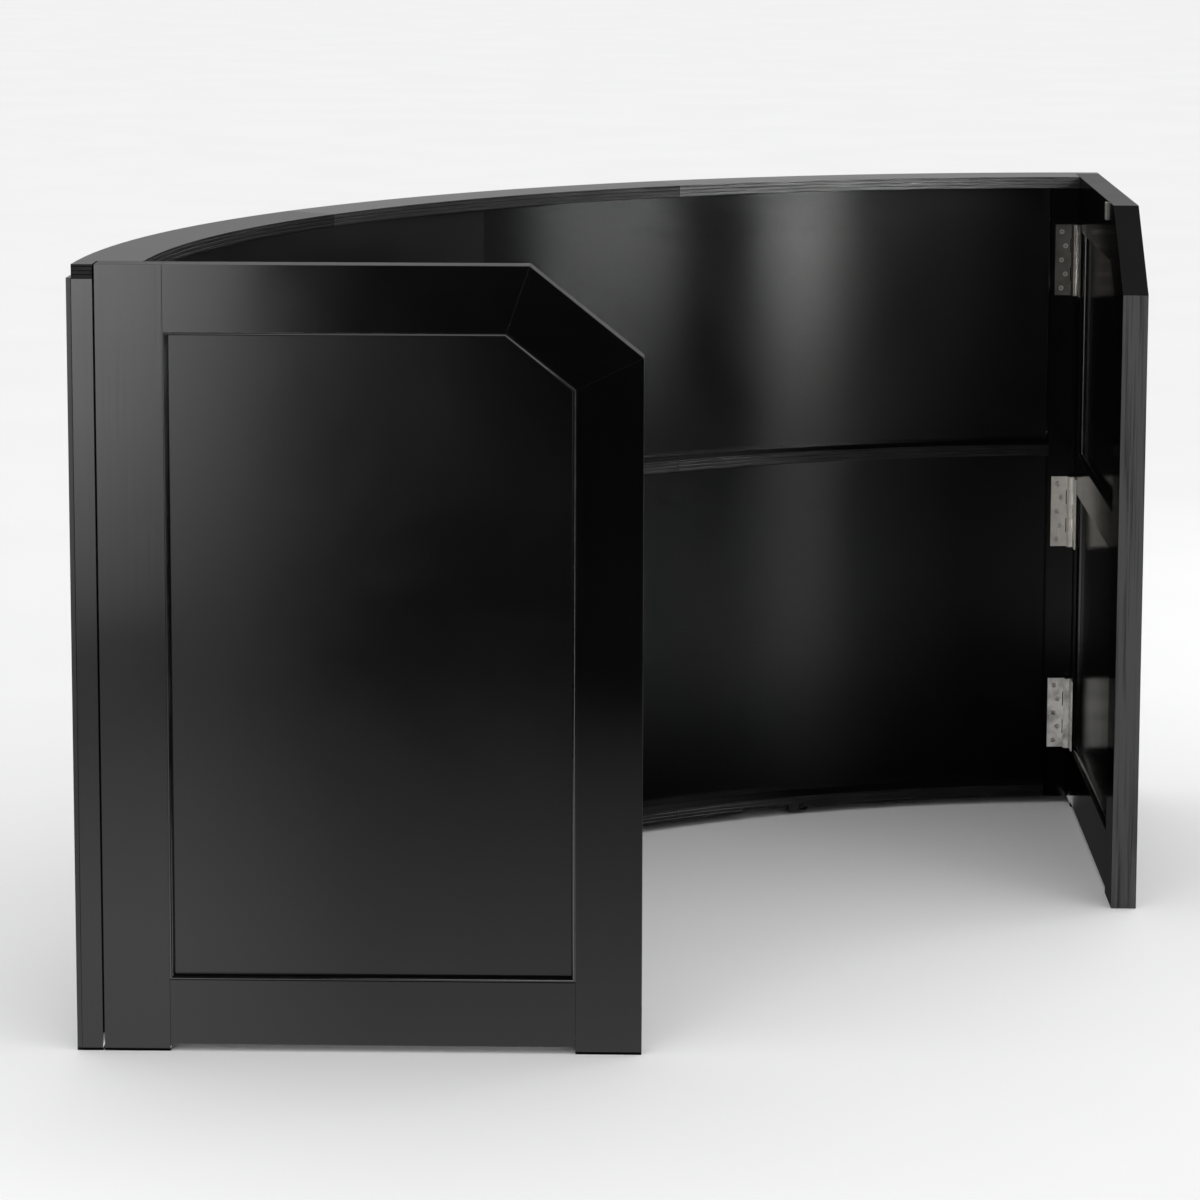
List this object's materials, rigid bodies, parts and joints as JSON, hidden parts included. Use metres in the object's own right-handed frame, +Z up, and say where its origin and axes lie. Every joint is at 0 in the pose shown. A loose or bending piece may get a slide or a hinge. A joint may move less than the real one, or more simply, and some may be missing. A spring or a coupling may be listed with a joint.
{
  "type": "curved folding counter front",
  "caption": "Quarter-round black counter front that stands on edge: a ribbed, skinned wall with a hinged, framed panel wing at each end.",
  "frame": {"origin": "on the floor, under the middle of the bounding box, with both wings open at right angles to each other", "axes": "+Z up; +Y from the operator's bay towards the convex public side; +X to the right of somebody who stands in the bay and faces the wall"},
  "size_m": [2.1372, 0.9729, 1.0668],
  "materials": {
    "painted_plywood": "black satin paint over plywood, with a faint grain",
    "painted_frame": "black satin paint over open-grained boards",
    "bare_pine": "unpainted, inside the wall",
    "hinge_steel": "satin plated steel",
    "clip_black": "black, semi-matt"
  },
  "bodies": {
    "wall": {"top_rib_left": "painted_plywood", "top_rib_centre": "painted_plywood", "top_rib_right": "painted_plywood", "middle_rib_left": "painted_plywood", "middle_rib_centre": "painted_plywood", "middle_rib_right": "painted_plywood", "bottom_rib_left": "painted_plywood", "bottom_rib_centre": "painted_plywood", "bottom_rib_right": "painted_plywood", "outer_skin_left": "painted_plywood", "inner_skin_upper_left": "painted_plywood", "inner_skin_lower_left": "painted_plywood", "end_post_left": "painted_frame", "end_stile_left": "painted_frame", "outer_skin_right": "painted_plywood", "inner_skin_upper_right": "painted_plywood", "inner_skin_lower_right": "painted_plywood", "end_post_right": "painted_frame", "end_stile_right": "painted_frame", "stud_upper_left": "bare_pine", "stud_upper_centre": "bare_pine", "stud_upper_right": "bare_pine", "stud_lower_left": "bare_pine", "stud_lower_centre": "bare_pine", "stud_lower_right": "bare_pine", "cable_clip": "clip_black", "left_top_hinge_wall_leaf": "hinge_steel", "left_top_hinge_pin": "hinge_steel", "left_middle_hinge_wall_leaf": "hinge_steel", "left_middle_hinge_pin": "hinge_steel", "left_bottom_hinge_wall_leaf": "hinge_steel", "left_bottom_hinge_pin": "hinge_steel", "right_top_hinge_wall_leaf": "hinge_steel", "right_top_hinge_pin": "hinge_steel", "right_middle_hinge_wall_leaf": "hinge_steel", "right_middle_hinge_pin": "hinge_steel", "right_bottom_hinge_wall_leaf": "hinge_steel", "right_bottom_hinge_pin": "hinge_steel"},
    "left_wing": {"left_wing_hinge_stile": "painted_frame", "left_wing_free_stile": "painted_frame", "left_wing_top_rail": "painted_frame", "left_wing_corner_rail": "painted_frame", "left_wing_bottom_rail": "painted_frame", "left_wing_middle_rail": "painted_frame", "left_wing_panel": "painted_plywood", "left_wing_catch_plate": "hinge_steel", "left_top_hinge_wing_leaf": "hinge_steel", "left_middle_hinge_wing_leaf": "hinge_steel", "left_bottom_hinge_wing_leaf": "hinge_steel"},
    "right_wing": {"right_wing_hinge_stile": "painted_frame", "right_wing_free_stile": "painted_frame", "right_wing_top_rail": "painted_frame", "right_wing_corner_rail": "painted_frame", "right_wing_bottom_rail": "painted_frame", "right_wing_middle_rail": "painted_frame", "right_wing_panel": "painted_plywood", "right_wing_catch_plate": "hinge_steel", "right_top_hinge_wing_leaf": "hinge_steel", "right_middle_hinge_wing_leaf": "hinge_steel", "right_bottom_hinge_wing_leaf": "hinge_steel"}
  },
  "joints": [
    {"name": "left_wing_hinge", "type": "hinge", "parent": "wall", "child": "left_wing", "pos_m": [-0.96312, 0.01005, 0.53], "axis": [0, 0, 1], "range_deg": [0, 70]},
    {"name": "right_wing_hinge", "type": "hinge", "parent": "wall", "child": "right_wing", "pos_m": [0.96312, 0.01005, 0.53], "axis": [0, 0, -1], "range_deg": [0, 70]}
  ]
}
